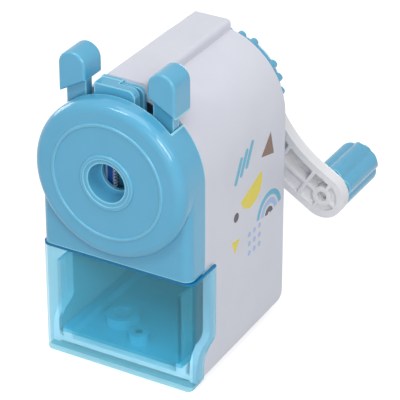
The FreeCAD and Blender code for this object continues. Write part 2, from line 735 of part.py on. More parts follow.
def face_shell():
    apron = block((-face_half, face_half), (apron_front, face_rear), (apron_bottom, axis_z))
    apron = rounded(apron, (along("z", y=apron_front), d.face_edge_radius))
    arch = axial((apron_front, face_rear), face_half)
    disc = rounded(axial((disc_front, face_rear), face_half),
                   (ring_at(disc_front, face_half), d.disc_edge_radius))
    bead = cut(axial((disc_front - d.bead_rise, apron_front), d.bead_radius + d.bead_width / 2),
               axial((disc_front - OVERCUT, disc_front), d.bead_radius - d.bead_width / 2))
    bead_sides = [d.bead_radius + side * d.bead_width / 2 for side in (-1, 1)]
    bead = rounded(bead, *[(ring_at(disc_front - d.bead_rise, radius), BEAD_ROUND * d.bead_rise)
                           for radius in bead_sides])
    collar = axial((disc_front - d.collar_rise, apron_front), d.collar_radius)
    collar = rounded(collar, (ring_at(disc_front - d.collar_rise, d.collar_radius),
                              BEAD_ROUND * d.collar_rise))
    outer = fuse(apron, arch, disc, bead, collar)
    hollow = block((-face_inside, face_inside), (apron_front + d.face_wall, face_rear + OVERCUT),
                   (apron_bottom + d.face_wall, axis_z))
    vault = axial((apron_front + d.face_wall, face_rear + OVERCUT), face_inside)
    dish = axial((disc_front + d.face_wall, apron_front + 2 * d.face_wall),
                 face_half - d.disc_edge_radius)
    notch = block((-d.notch_width / 2, d.notch_width / 2), (face_rear - d.notch_depth, face_rear + OVERCUT),
                  (axis_z + face_half / 2, axis_z + face_half + OVERCUT))
    sleeve_end = disc_front + d.sleeve_length
    sleeve = axial((disc_front, sleeve_end), d.sleeve_radius)
    entry = axial((disc_front - OVERCUT - d.collar_rise, sleeve_end - d.sleeve_step), d.entry_radius)
    groove = cut(axial((disc_front - d.collar_rise - OVERCUT, disc_front - d.collar_rise / 2),
                       d.collar_radius - d.collar_width),
                 axial((disc_front - d.collar_rise - OVERCUT, disc_front), d.entry_radius / 2))
    throat = axial((disc_front, sleeve_end + OVERCUT), d.sleeve_step_radius)
    shell = cut(outer, hollow, vault, dish, notch, groove)
    bosses = []
    bores = []
    for x, z in face_screw_places():
        bosses.append(rod("y", (x, z), (apron_front + d.face_wall, plate_front), d.face_boss_radius))
        bores.append(rod("y", (x, z), (plate_front - d.screw_length / 2, face_rear), d.screw_radius))
    piece("face_shell", cut(fuse(shell, sleeve, *bosses), entry, throat, *bores))


def face_screw_places():
    places = ((face_inside - d.face_screw_x, d.face_screw_low),
              (face_inside - d.face_screw_high_x, d.face_screw_high))
    return [(side * x, z) for side in (-1, 1) for x, z in places]


def guide_plate():
    arch = axial((plate_front, face_rear), face_inside)
    lower = block((-face_inside, face_inside), (plate_front, face_rear),
                  (apron_bottom + d.face_wall, axis_z))
    low_top = crest_top - d.crest_step
    tall = block((ridge_left, tab_step), (plate_front, face_rear), (axis_z, crest_top))
    short = block((ridge_left, ridge_right), (plate_front, face_rear), (axis_z, low_top))
    crest = fuse(tall, rounded(short, (along("y", x=ridge_right, z=low_top), d.tab_radius)))
    lug = block((-d.lug_width / 2, d.lug_width / 2), (slot_front, plate_front),
                (d.lever_top + d.lever_gap, lug_top))
    solid = fuse(arch, lower, crest, lug)
    holes = [axial((plate_front - OVERCUT, face_rear + OVERCUT), d.plate_bore_radius)]
    for x, z in face_screw_places():
        holes.append(rod("y", (x, z), (plate_front - OVERCUT, face_rear + OVERCUT), d.screw_radius))
    for side in (-1, 1):
        holes.append(rod("y", (side * rod_side, d.rod_z), (plate_front - OVERCUT, face_rear + OVERCUT),
                         d.rod_radius))
    for gap in ((-leg_inner, ridge_left), (ridge_right, leg_inner)):
        holes.append(block(gap, (plate_front - OVERCUT, face_rear + OVERCUT), (lug_top, ridge_top)))
    piece("guide_plate", cut(solid, *holes))


def face_screws():
    """Countersunk flush: the shank runs forward into the blue front from the plate's rear face."""
    solids = []
    length = d.plate_wall + d.screw_length / 2
    for x, z in face_screw_places():
        shank = Part.makeCylinder(d.screw_radius, length, Vector(x, face_rear, z), Vector(0, -1, 0))
        solids.append(shank)
    solid_feature("face_screws", Part.makeCompound(solids))


def top_guide():
    tab_front = plate_front - d.tab_depth
    bottom = lug_top + d.tab_lift
    tab = block((tab_right - d.tab_width, tab_right), (tab_front, plate_front), (bottom, crest_top))
    tab = rounded(tab, (along("y", x=tab_right, z=crest_top), d.tab_radius))
    step = block((tab_step, tab_right + OVERCUT), (plate_front - d.tab_notch_depth, plate_front + OVERCUT),
                 (bottom - OVERCUT, crest_top + OVERCUT))
    piece("top_guide", cut(tab, step))


def guide_rods():
    end = rear_inside - d.rod_end_gap
    rods = [rod("y", (side * rod_side, d.rod_z), (plate_front, end), d.rod_radius) for side in (-1, 1)]
    doc.recompute()
    solid_feature("guide_rods", Part.makeCompound([item.Shape.copy() for item in rods]))


def rod_clips():
    end = rear_inside - d.rod_end_gap
    clips = []
    for side in (-1, 1):
        centre = (side * rod_side, d.rod_z)
        outer = rod("y", centre, (end - 2 * d.clip_width, end - d.clip_width), d.clip_radius)
        clips.append(cut(outer, rod("y", centre, (plate_front, end), d.rod_radius)))
    doc.recompute()
    solid_feature("rod_clips", Part.makeCompound([item.Shape.copy() for item in clips]))


def lever(name, side):
    """One squeeze lever: finger end, leg and the windowed plate that carries its jaw."""
    outer_x = d.ear_inner + d.ear_width
    round_z = d.ear_top - d.ear_width / 2
    body = doc.addObject("PartDesign::Body", f"{name}_ear")
    sketch = sketch_on(body, "XZ_Plane", d.ear_front - plate_front)
    near_x = side * d.ear_inner
    far_x = side * outer_x
    middle = (near_x + far_x) / 2
    corners = [(far_x, round_z), (far_x, d.ear_tip), (near_x, d.ear_heel), (near_x, round_z)]
    for (x0, z0), (x1, z1) in zip(corners, corners[1:]):
        sketch.addGeometry(Part.LineSegment(Vector(x0, z0, 0), Vector(x1, z1, 0)), False)
    circle = Part.Circle(Vector(middle, round_z, 0), Vector(0, 0, 1), d.ear_width / 2)
    crown = sketch.addGeometry(Part.ArcOfCircle(circle, 0, math.pi), False)
    right_end, left_end = ((0, 1), (2, 2)) if side > 0 else ((2, 2), (0, 1))
    for first, second in (((0, 2), (1, 1)), ((1, 2), (2, 1)),
                          (right_end, (crown, 1)), (left_end, (crown, 2))):
        sketch.addConstraint(Sketcher.Constraint("Coincident", *first, *second))
    for (line, point), (x, z) in zip(((0, 1), (1, 1), (2, 1), (2, 2)), corners):
        fix_point(sketch, line, point, x, z)
    fix_point(sketch, crown, 3, None, round_z)
    pad(body, sketch, d.ear_depth, True)
    leg_outer = side * (outer_x - d.leg_inset)
    leg_front = slot_front + d.lever_gap
    leg_rear = plate_front - d.lever_gap
    layer = leg_front if side > 0 else leg_rear - d.lever_wall
    leg_x = sorted((side * leg_inner, leg_outer))
    leg = block(leg_x, (leg_front, leg_rear), (d.leg_bottom, d.ear_heel + d.ear_edge_radius))
    stem = block(leg_x, (layer, layer + d.lever_wall), (d.lever_top - d.lever_gap, d.leg_bottom))
    plate_x = sorted((leg_outer, -side * d.lever_reach))
    plate = block(plate_x, (layer, layer + d.lever_wall), (d.lever_bottom, d.lever_top))
    window_x = sorted((side * d.window_near, -side * d.window_far))
    window = block(window_x, (layer - OVERCUT, layer + d.lever_wall + OVERCUT),
                   (axis_z - d.window_height / 2, axis_z + d.window_height / 2))
    head = rounded(body, (lambda edge: near(edge.BoundBox.YMin, edge.BoundBox.YMax), d.ear_edge_radius))
    piece(name, cut(fuse(head, leg, stem, plate), window))
    return layer


def jaw(name, side, layer):
    """A toothed strip on the far side of a lever's window."""
    count = round(float(d.jaw_height) / float(d.jaw_pitch))
    pitch = float(d.jaw_height) / count
    low = float(axis_z - d.jaw_height / 2)
    reaches = (d.jaw_grip, d.jaw_grip + d.jaw_tooth, d.window_far)
    grip, root, back = (-side * float(reach) for reach in reaches)
    points = [Vector(back, layer, low)]
    for tooth in range(count):
        points.append(Vector(root, layer, low + tooth * pitch))
        points.append(Vector(grip, layer, low + (tooth + 0.5) * pitch))
    points += [Vector(root, layer, low + count * pitch), Vector(back, layer, low + count * pitch)]
    face = Part.Face(Part.makePolygon(points + points[:1]))
    solid_feature(name, face.extrude(Vector(0, d.lever_wall, 0)))


# Springs

def arc_from(start, tangent, end):
    """The circular arc that leaves a point along a tangent and reaches another point."""
    chord = end - start
    across = chord - tangent * chord.dot(tangent)
    across.normalize()
    radius = chord.dot(chord) / (2 * chord.dot(across))
    centre = start + across * radius
    half_way = (start + end) * 0.5 - centre
    half_way.normalize()
    return Part.Arc(start, centre + half_way * radius, end).toShape()


def coil(length, radius, wire, turns):
    """One unbroken wire, wound along X from zero to the length, with its least gap printed."""
    steps = 4 * int(round(float(turns)))
    rise = (float(length) - float(wire)) / (2 * math.pi * float(turns))
    def point(angle):
        return Vector(float(wire) / 2 + rise * angle, radius * math.cos(angle), radius * math.sin(angle))
    def heading(angle):
        vector = Vector(rise, -radius * math.sin(angle), radius * math.cos(angle))
        return vector.normalize()
    edges = []
    for step in range(steps):
        first, last = step * math.pi / 2, (step + 1) * math.pi / 2
        start, end, leave, arrive = point(first), point(last), heading(first), heading(last)
        span, sum_heading = end - start, leave + arrive
        spread = 2 * (1 - leave.dot(arrive))
        lead = span.dot(sum_heading)
        reach = (math.sqrt(lead ** 2 + spread * span.dot(span)) - lead) / spread
        joint = (start + leave * reach + end - arrive * reach) * 0.5
        edges.append(arc_from(start, leave, joint))
        back = arc_from(end, arrive * -1, joint)
        edges.append(back)
    spine = Part.Wire(Part.__sortEdges__(edges))
    section = Part.Wire(Part.makeCircle(wire / 2, point(0), heading(0)))
    tube = spine.makePipeShell([section], True, False)
    print(f"coil gap {2 * math.pi * rise - float(wire):.2f} mm, wire {spine.Length:.1f} mm")
    return tube


def clamp_springs():
    for name, side in (("left_clamp_spring", -1), ("right_clamp_spring", 1)):
        start = d.lug_width / 2
        spring = coil(leg_inner - start, d.clamp_spring_radius, d.clamp_spring_wire, d.clamp_spring_turns)
        middle = (slot_front + plate_front) / 2
        turn = Rotation() if side > 0 else Rotation(Vector(0, 0, 1), 180)
        solid_feature(name, spring, Placement(Vector(side * start, middle, d.clamp_spring_z), turn))


def return_springs():
    end = rear_inside - d.rod_end_gap - 2 * d.clip_width
    length = end - bulkhead_rear
    solids = []
    for side in (-1, 1):
        spring = coil(length, d.return_spring_radius, d.return_spring_wire, d.return_spring_turns)
        spring.Placement = Placement(Vector(side * rod_side, bulkhead_rear, d.rod_z),
                                     Rotation(Vector(0, 0, 1), 90))
        solids.append(spring)
    solid_feature("return_springs", Part.makeCompound(solids))


# Bulkhead and bearings

def bulkhead():
    arch = axial((bulkhead_front, bulkhead_rear), inside)
    lower = block((-inside, inside), (bulkhead_front, bulkhead_rear), (bulkhead_bottom, axis_z))
    span = (bulkhead_front - OVERCUT, bulkhead_rear + OVERCUT)
    holes = [axial(span, d.spigot_radius + d.rod_fit + d.front_bush_wall)]
    for side in (-1, 1):
        holes.append(rod("y", (side * rod_side, d.rod_z), span, d.rod_radius + d.rod_fit + d.bush_wall))
    piece("bulkhead", cut(fuse(arch, lower), *holes))


def rod_bushes():
    span = (bulkhead_front, bulkhead_rear)
    bushes = []
    for side in (-1, 1):
        centre = (side * rod_side, d.rod_z)
        outer = rod("y", centre, span, d.rod_radius + d.rod_fit + d.bush_wall)
        bushes.append(cut(outer, rod("y", centre, (span[0] - OVERCUT, span[1] + OVERCUT),
                                     d.rod_radius + d.rod_fit)))
    doc.recompute()
    solid_feature("rod_bushes", Part.makeCompound([item.Shape.copy() for item in bushes]))


def front_bush():
    bore = d.spigot_radius + d.rod_fit
    outer = axial((bulkhead_front, bulkhead_rear), bore + d.front_bush_wall)
    piece("front_bush", cut(outer, axial((bulkhead_front - OVERCUT, bulkhead_rear + OVERCUT), bore)))


# Cutter drum at the rear

def cutter_barrel():
    drum = axial((barrel_front, flange_front), d.barrel_radius)
    flange = axial((flange_front, flange_rear), d.flange_radius)
    space = axial((barrel_front - OVERCUT, end_front), barrel_inside)
    bore = axial((end_front - OVERCUT, flange_rear + OVERCUT),
                 d.shaft_radius + d.rod_fit + d.rear_bush_wall)
    piece("cutter_barrel", cut(fuse(drum, flange), space, bore))


def rear_bush():
    bore = d.shaft_radius + d.rod_fit
    outer = axial((end_front, flange_rear), bore + d.rear_bush_wall)
    piece("rear_bush", cut(outer, axial((end_front - OVERCUT, flange_rear + OVERCUT), bore)))


def toothed_wire(count, pitch, root, tip):
    """Straight-flanked teeth round the origin in XY, from their root radius to their tip radius."""
    teeth = int(round(float(count)))
    half_tooth = math.pi * pitch / (2 * teeth) * d.tooth_share
    slope = math.tan(math.radians(float(d.tooth_slope)))
    inwards = 1 if root > tip else -1
    corners = []
    for tooth in range(teeth):
        middle = 2 * math.pi * tooth / teeth
        for radius, side in ((root, -1), (tip, -1), (tip, 1), (root, 1)):
            angle = middle + side * (half_tooth + inwards * (radius - pitch) * slope) / radius
            corners.append(Vector(radius * math.cos(angle), radius * math.sin(angle), 0))
    return Part.makePolygon(corners + corners[:1])


def ring_gear():
    pitch = float(ring_pitch)
    root, tip = pitch + ROOT_SHARE * d.gear_module, pitch - TIP_SHARE * d.gear_module
    teeth = toothed_wire(d.ring_teeth, pitch, root, tip)
    space = Part.Face(teeth).extrude(Vector(0, 0, d.ring_width))
    ring = Part.makeCylinder(barrel_inside, d.ring_width).cut(space)
    turn = Rotation(Vector(1, 0, 0), -90).multiply(Rotation(Vector(0, 0, 1), 90 + 180 / d.ring_teeth))
    solid_feature("ring_gear", ring, Placement(Vector(0, mesh_y - d.ring_width / 2, axis_z), turn))


def cutter_frame(distance):
    """Place along the leaning axle: local Z runs forward and up from the pinion's middle."""
    lean = Rotation(Vector(1, 0, 0), 90 - d.cutter_tilt)
    point = Vector(0, gear_y - distance * tilt_cos, axis_z + gear_offset + distance * tilt_sin)
    return Placement(point, lean)


def cutter_pinion():
    pitch = float(pinion_pitch)
    root, tip = pitch - ROOT_SHARE * d.gear_module, pitch + TIP_SHARE * d.gear_module
    teeth = toothed_wire(d.pinion_teeth, pitch, root, tip)
    solid = Part.Face(teeth).extrude(Vector(0, 0, d.pinion_width))
    solid = solid.cut(Part.makeCylinder(d.axle_radius + d.rod_fit, d.pinion_width))
    tooth_up = Placement(Vector(), Rotation(Vector(0, 0, 1), 90))
    solid_feature("cutter_pinion", solid, cutter_frame(-d.pinion_width / 2).multiply(tooth_up))


def helical_cutter():
    """Blades with a steep cutting side, twisted in short straight stretches."""
    blades = int(round(float(d.cutter_blades)))
    radii = (d.cutter_core_radius, d.cutter_radius, d.cutter_radius, d.cutter_core_radius)
    wires = []
    for number in range(BLADE_SLICES + 1):
        lift = float(d.cutter_length) * number / BLADE_SLICES
        twist = math.radians(float(d.cutter_twist)) * number / BLADE_SLICES
        corners = []
        for blade in range(blades):
            start = twist + 2 * math.pi * blade / blades
            for share, radius in zip(BLADE_SHARES, radii):
                angle = start + share * 2 * math.pi / blades
                corners.append(Vector(radius * math.cos(angle), radius * math.sin(angle), lift))
        wires.append(Part.makePolygon(corners + corners[:1]))
    solid = Part.makeLoft(wires, True, True)
    solid = solid.cut(Part.makeCylinder(d.axle_radius + d.rod_fit, d.cutter_length))
    solid_feature("helical_cutter", solid, cutter_frame(float(cutter_start)))


def axle_length():
    return (axle_seat - (cage_front_rear - d.axle_front_socket)) / tilt_cos


def axle_start():
    return -(axle_seat - gear_y) / tilt_cos


def cutter_axle():
    axle = doc.addObject("Part::Cylinder", "cutter_axle")
    bind(axle, "Radius", d.axle_radius)
    bind(axle, "Height", axle_length())
    axle.Placement = cutter_frame(axle_start())
    return piece("cutter_axle", axle)


def cutter_cage():
    disc = axial((disc_face, cage_rear), d.cage_radius)
    front_disc = axial((cage_front_face, cage_front_rear), d.cage_front_radius)
    spigot = axial((spigot_front, cage_front_rear), d.spigot_radius)
    bar = common(block((-d.spine_width / 2, d.spine_width / 2), (cage_front_face, cage_rear),
                       (axis_z - d.cage_radius, axis_z - d.spine_clear)),
                 axial((cage_front_face, cage_rear), d.cage_radius))
    way = axial((spigot_front - OVERCUT, cage_front_rear + OVERCUT), d.pencil_radius)
    seat = axial((axle_seat + d.cage_gap, cage_rear + OVERCUT), d.shaft_radius)
    axle_hole = doc.addObject("Part::Cylinder", "axle_hole")
    bind(axle_hole, "Radius", d.axle_radius)
    bind(axle_hole, "Height", axle_length())
    axle_hole.Placement = cutter_frame(axle_start())
    piece("cutter_cage", cut(fuse(disc, front_disc, spigot, bar), way, seat, axle_hole))


def drive_shaft():
    span = (axle_seat + d.cage_gap, arm_rear - d.crank_screw_height)
    piece("drive_shaft", axial(span, d.shaft_radius))


def lock_collar():
    body = doc.addObject("PartDesign::Body", "lock_collar")
    sketch = sketch_on(body, "XZ_Plane")
    for number, radius in enumerate((d.collar_base_radius, collar_bore)):
        sketch.addGeometry(Part.Circle(Vector(), Vector(0, 0, 1), radius), False)
        sketch.addConstraint(Sketcher.Constraint("Coincident", number, 3, -1, 1))
        index = sketch.addConstraint(Sketcher.Constraint("Radius", number, float(radius)))
        bind(sketch, f"Constraints[{index}]", radius)
    pad(body, sketch, d.collar_depth, True)
    bumps = sketch_on(body, "XZ_Plane")
    count = int(round(float(d.group_bumps)))
    pitch = 360 / (d.bump_groups * (d.group_bumps + 1))
    for number in range(count):
        angle = d.bump_start + number * pitch
        x, z = d.collar_base_radius * cosine(angle), d.collar_base_radius * sine(angle)
        bumps.addGeometry(Part.Circle(Vector(x, z, 0), Vector(0, 0, 1), d.bump_radius), False)
        fix_point(bumps, number, 3, x, z)
        index = bumps.addConstraint(Sketcher.Constraint("Radius", number, float(d.bump_radius)))
        bind(bumps, f"Constraints[{index}]", d.bump_radius)
    bump = pad(body, bumps, d.collar_depth, True)
    doc.recompute()
    pattern = body.newObject("PartDesign::PolarPattern", "bump_pattern")
    pattern.Originals = [bump]
    pattern.Axis = (bumps, ["N_Axis"])
    pattern.Occurrences = int(round(float(d.bump_groups)))
    pattern.Angle = 360.0
    body.Tip = pattern
    place(body, 0.0, collar_front, axis_z)
    piece("lock_collar", body)


# Crank

def crank_plan(rim, depth):
    """The arm's outline, hub at the origin and straight part along X, padded towards +Y."""
    body = doc.addObject("PartDesign::Body", "arm_plan")
    sketch = sketch_on(body, "XZ_Plane")
    hub, tip = d.hub_radius - rim, d.tip_radius - rim
    run, drop = float(d.arm_run), float(d.arm_drop)
    low_x, high_x = run - float(d.arm_low_run), run - float(d.arm_high_run)
    low_z, high_z = -drop - float(tip), -drop + float(tip)
    low_radius = (low_x ** 2 + low_z ** 2 - hub ** 2) / (2 * (-low_z - hub))
    high_radius = (high_x ** 2 + high_z ** 2 - hub ** 2) / (2 * (hub - high_z))
    low_turn = math.atan2(-low_z - low_radius, -low_x) + 2 * math.pi
    high_turn = math.atan2(-high_z - high_radius, -high_x) + 2 * math.pi
    normal = Vector(0, 0, 1)
    three = 1.5 * math.pi
    shapes = (
        Part.ArcOfCircle(Part.Circle(Vector(), normal, hub), high_turn - math.pi, low_turn),
        Part.ArcOfCircle(Part.Circle(Vector(low_x, low_z + low_radius, 0), normal, low_radius),
                         low_turn, three),
        Part.LineSegment(Vector(low_x, low_z, 0), Vector(run, low_z, 0)),
        Part.ArcOfCircle(Part.Circle(Vector(run, -drop, 0), normal, tip), -math.pi / 2, math.pi / 2),
        Part.LineSegment(Vector(run, high_z, 0), Vector(high_x, high_z, 0)),
        Part.ArcOfCircle(Part.Circle(Vector(high_x, high_z + high_radius, 0), normal, high_radius),
                         high_turn, three),
    )
    for shape in shapes:
        sketch.addGeometry(shape, False)
    for first, second in (((0, 2), (1, 1)), ((1, 2), (2, 1)), ((2, 2), (3, 1)), ((3, 2), (4, 1)),
                          ((4, 2), (5, 2)), ((5, 1), (0, 1))):
        sketch.addConstraint(Sketcher.Constraint("Tangent", *first, *second))
    sketch.addConstraint(Sketcher.Constraint("Coincident", 0, 3, -1, 1))
    sketch.addConstraint(Sketcher.Constraint("Horizontal", 2))
    sketch.addConstraint(Sketcher.Constraint("Horizontal", 4))
    fix_point(sketch, 3, 3, d.arm_run, -d.arm_drop)
    fix_point(sketch, 2, 1, d.arm_run - d.arm_low_run, None)
    fix_point(sketch, 4, 2, d.arm_run - d.arm_high_run, None)
    for geometry, number in ((0, hub), (3, tip)):
        index = sketch.addConstraint(Sketcher.Constraint("Radius", geometry, float(number)))
        bind(sketch, f"Constraints[{index}]", number)
    pad(body, sketch, depth, True)
    return body


def crank_arm():
    """Built level and facing front, then set at its angle on the axis."""
    outer = rounded(crank_plan(NOTHING, d.arm_depth),
                    (lambda edge: near(edge.BoundBox.YMin, d.arm_depth), d.arm_edge_radius))
    pocket_depth = d.arm_depth - d.arm_floor
    hollow = crank_plan(d.arm_rim, pocket_depth)
    inner = (NOTHING, pocket_depth)
    through = (-OVERCUT, d.arm_depth + OVERCUT)
    tip = (d.arm_run, -d.arm_drop)
    reach = d.arm_run + d.tip_radius
    keep = [block((NOTHING, reach), inner, (-d.arm_drop - d.arm_rib / 2, -d.arm_drop + d.arm_rib / 2)),
            rod("y", (0.0, 0.0), inner, d.hub_boss_radius),
            rod("y", tip, inner, d.tip_boss_radius)]
    for number in range(int(round(float(d.arm_ribs)))):
        x = d.arm_run - d.arm_rib_start - number * d.arm_rib_pitch
        keep.append(block((x - d.arm_rib / 2, x + d.arm_rib / 2), inner, (-reach, reach)))
    keep.append(block((d.arm_run - d.arm_rib / 2, d.arm_run + d.arm_rib / 2), inner, (-reach, reach)))
    filled = (d.arm_shallow, pocket_depth)
    keep.append(block((-reach, reach), filled, (-reach, -d.arm_drop)))
    keep.append(block((d.arm_run, reach), filled, (-reach, reach)))
    bores = [rod("y", (0.0, 0.0), through, d.shaft_radius),
             rod("y", (0.0, 0.0), (d.arm_depth - d.crank_screw_height, through[1]), d.crank_screw_radius),
             rod("y", tip, through, d.pin_radius)]
    arm = cut(outer, cut(hollow, *keep), *bores)
    arm.Placement = Placement(Vector(), Rotation(Vector(0, 1, 0), d.arm_angle))
    bind(arm, "Placement.Rotation.Angle", d.arm_angle)
    place(arm, 0.0, arm_front, axis_z)
    piece("crank_arm", arm)


def crank_screw():
    head = axial((arm_rear - d.crank_screw_height, arm_rear), d.crank_screw_radius)
    slots = cross_slots("y", (0.0, axis_z), (arm_rear - d.recess_depth, arm_rear + OVERCUT))
    piece("crank_screw", cut(head, *slots))


def knob_pin():
    start = arm_front + d.pin_recess
    end = arm_rear + d.knob_gap + d.knob_length - d.knob_end_wall - d.knob_gap
    piece("knob_pin", rod("y", (tip_x, tip_z), (start, end), d.pin_radius))


def crank_knob():
    start = arm_rear + d.knob_gap
    end = start + d.knob_length
    centre = (tip_x, tip_z)
    lobes = [rod("y", centre, (start, end), d.knob_radius - d.knob_groove)]
    for number in range(int(round(float(d.knob_lobes)))):
        angle = d.knob_turn + number * (360 / d.knob_lobes)
        away = d.knob_radius - d.knob_lobe_radius
        x = tip_x + away * cosine(angle)
        z = tip_z + away * sine(angle)
        lobes.append(rod("y", (x, z), (start, end), d.knob_lobe_radius))
    bullet = rounded(rod("y", centre, (start, end), d.knob_radius),
                     (ring_at(start, d.knob_radius), d.knob_inner_radius),
                     (ring_at(end, d.knob_radius), d.knob_end_radius))
    bore = rod("y", centre, (start - OVERCUT, end - d.knob_end_wall), d.pin_radius + d.rod_fit)
    piece("crank_knob", cut(common(fuse(*lobes), bullet), bore))


housing_shell()
base_plate()
base_screws()
rubber_feet()
shavings_drawer()
face_shell()
guide_plate()
face_screws()
top_guide()
guide_rods()
rod_clips()
jaw("left_jaw", -1, lever("left_lever", -1))
jaw("right_jaw", 1, lever("right_lever", 1))
clamp_springs()
return_springs()
bulkhead()
rod_bushes()
front_bush()
cutter_barrel()
rear_bush()
ring_gear()
cutter_pinion()
helical_cutter()
cutter_axle()
cutter_cage()
drive_shaft()
lock_collar()
crank_arm()
crank_screw()
knob_pin()
crank_knob()

doc.recompute()
for obj in doc.Objects:
    if "Invalid" in obj.State or "Error" in obj.State:
        raise RuntimeError(f"{obj.Label} failed: {obj.State}")
for obj in PIECES:
    if obj.Shape.isNull() or not obj.Shape.isValid():
        raise RuntimeError(f"{obj.Label} has no sound shape")

os.makedirs("parts", exist_ok=True)
for obj in PIECES:
    obj.Shape.exportStep(f"parts/{obj.Label}.step")
    print(f"{obj.Label}: {len(obj.Shape.Solids)} solid(s), {obj.Shape.Volume / 1000:.2f} cm3")
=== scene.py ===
# %% [markdown]
# # A crank pencil sharpener
# A small classroom sharpener has a white arched casing, a light blue front that slides out with the
# pencil, two squeeze ears, a clear blue drawer for the shavings and a crank at the rear. Its solids come
# packed at their real size, and sizes are read from them where that can be done. This lesson sets up the
# camera and the light, gives every solid its finish, winds the springs and prints the side of the casing.

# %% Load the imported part
import math

import bmesh
import bpy
from mathutils import Matrix, Quaternion, Vector
from mathutils.bvhtree import BVHTree


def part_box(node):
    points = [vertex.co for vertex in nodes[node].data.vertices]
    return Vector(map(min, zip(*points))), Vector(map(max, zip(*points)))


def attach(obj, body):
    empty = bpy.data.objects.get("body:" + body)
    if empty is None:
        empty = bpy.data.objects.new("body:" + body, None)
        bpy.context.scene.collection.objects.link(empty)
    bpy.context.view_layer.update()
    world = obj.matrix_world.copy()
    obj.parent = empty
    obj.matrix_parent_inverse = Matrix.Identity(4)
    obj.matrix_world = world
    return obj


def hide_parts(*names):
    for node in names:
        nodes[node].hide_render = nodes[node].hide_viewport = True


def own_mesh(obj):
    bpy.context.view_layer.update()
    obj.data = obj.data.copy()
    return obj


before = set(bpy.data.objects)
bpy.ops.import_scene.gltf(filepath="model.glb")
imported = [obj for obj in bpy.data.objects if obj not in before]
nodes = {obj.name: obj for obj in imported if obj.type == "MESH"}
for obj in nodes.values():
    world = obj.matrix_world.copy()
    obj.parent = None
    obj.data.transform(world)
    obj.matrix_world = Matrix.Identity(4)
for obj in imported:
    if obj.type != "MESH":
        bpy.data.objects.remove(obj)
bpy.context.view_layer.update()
MM = 0.001

# %% [markdown]
# ## The camera
# The product picture was taken from the front right and from above, with a long lens, so upright edges
# stay nearly parallel. A camera can be aimed by hand or by numbers. Numbers are used here: the direction,
# the distance and the point that sits in the middle of the picture. Roll is left out, and the focal
# length in pixels gives the lens.

# %% Aim the camera
CAMERA_AZIMUTH = 29.56
CAMERA_ELEVATION = 29.67
CAMERA_DISTANCE = 846.6 * MM
CAMERA_TARGET = Vector((12.4, 0.0, 58.1)) * MM
FOCAL_PIXELS = 2281.3
PICTURE_PIXELS = 400


def towards(azimuth, elevation):
    """Unit vector from the object to a viewer; azimuth 0 is straight in front of it."""
    turn, lift = math.radians(azimuth), math.radians(elevation)
    return Vector((math.sin(turn) * math.cos(lift), -math.cos(turn) * math.cos(lift), math.sin(lift)))


camera_data = bpy.data.cameras.new("camera")
camera_data.lens = camera_data.sensor_width * FOCAL_PIXELS / PICTURE_PIXELS
camera_data.clip_start, camera_data.clip_end = 0.01, 20.0
camera = bpy.data.objects.new("camera", camera_data)
view = towards(CAMERA_AZIMUTH, CAMERA_ELEVATION)
camera.location = CAMERA_TARGET + view * CAMERA_DISTANCE
camera.rotation_euler = view.to_track_quat("Z", "Y").to_euler()
bpy.context.scene.collection.objects.link(camera)
bpy.context.scene.camera = camera
bpy.context.scene.view_settings.view_transform = "Standard"
print("lens", round(camera_data.lens, 1), "mm")

# %% [markdown]
# ## Shader nodes in short
# Every finish below is a small tree of shader nodes. Blender's own calls need several lines for each node,
# so a few helpers keep the trees readable: one adds a node with its settings and inputs, one makes a cloudy
# grey pattern, one turns such a pattern into a run of colours, and one blends two colours.

# %% Helpers for shader nodes
NOISE_LOW, NOISE_HIGH = 0.3, 0.7


def add(tree, kind, inputs=None, **settings):
    """Add one shader node; an input takes a value, or a socket to link from."""
    made = tree.nodes.new("ShaderNode" + kind)
    for key, value in settings.items():
        setattr(made, key, value)
    for key, value in (inputs or {}).items():
        if isinstance(value, bpy.types.NodeSocket):
            tree.links.new(value, made.inputs[key])
        else:
            made.inputs[key].default_value = value
    return made


def ramp(tree, factor, *stops):
    """Colour ramp from (place, colour) stops; returns its colour socket."""
    made = add(tree, "ValToRGB", {"Fac": factor})
    for element, (place, colour) in zip(made.color_ramp.elements, stops):
        element.position = place
        element.color = (*colour, 1.0)
    return made.outputs["Color"]


def noise(tree, place, grain, detail=2.0):
    """Cloudy pattern whose spots are about grain metres wide; returns its grey socket."""
    made = add(tree, "TexNoise", {"Vector": place, "Scale": 1.0 / grain, "Detail": detail})
    return made.outputs["Fac"]


def tones(tree, pattern, dark, light):
    """Run from dark to light over the values that noise mostly takes; returns its colour socket."""
    return ramp(tree, pattern, (NOISE_LOW, dark), (NOISE_HIGH, light))


def blend(tree, share, first, second):
    """First colour, turning into the second where share is 1; returns its colour socket."""
    made = add(tree, "Mix", {"Factor": share, "A": first, "B": (*second, 1.0)}, data_type="RGBA")
    return made.outputs["Result"]


def new_finish(name):
    """Empty finish: the material, its tree, its main shader and the place on the object."""
    material = bpy.data.materials.new(name)
    material.use_nodes = True
    tree = material.node_tree
    place = add(tree, "TexCoord").outputs["Object"]
    return material, tree, tree.nodes["Principled BSDF"], place


def grey(value):
    """The same value in all three channels."""
    return (value, value, value)


print("helpers ready")

# %% [markdown]
# ## Floor, backdrop and lamps
# The picture has a plain white ground. A white sweep lit until it clips would flood the object with light,
# so the floor and the world carry their own plain white, which only the camera, reflections and clear
# plastic see. A ray that met a matt face before sees less of that white. All other light comes from a pale
# world and seven soft lamps: a large one above, a key lamp to the right of the camera, a low fill lamp to
# the left of it, two that light the back and the left for views from there, and two long ones that draw the
# bright streaks on the rim of the disc. A long lamp is rolled about its own beam until its streak lies along
# the rim.

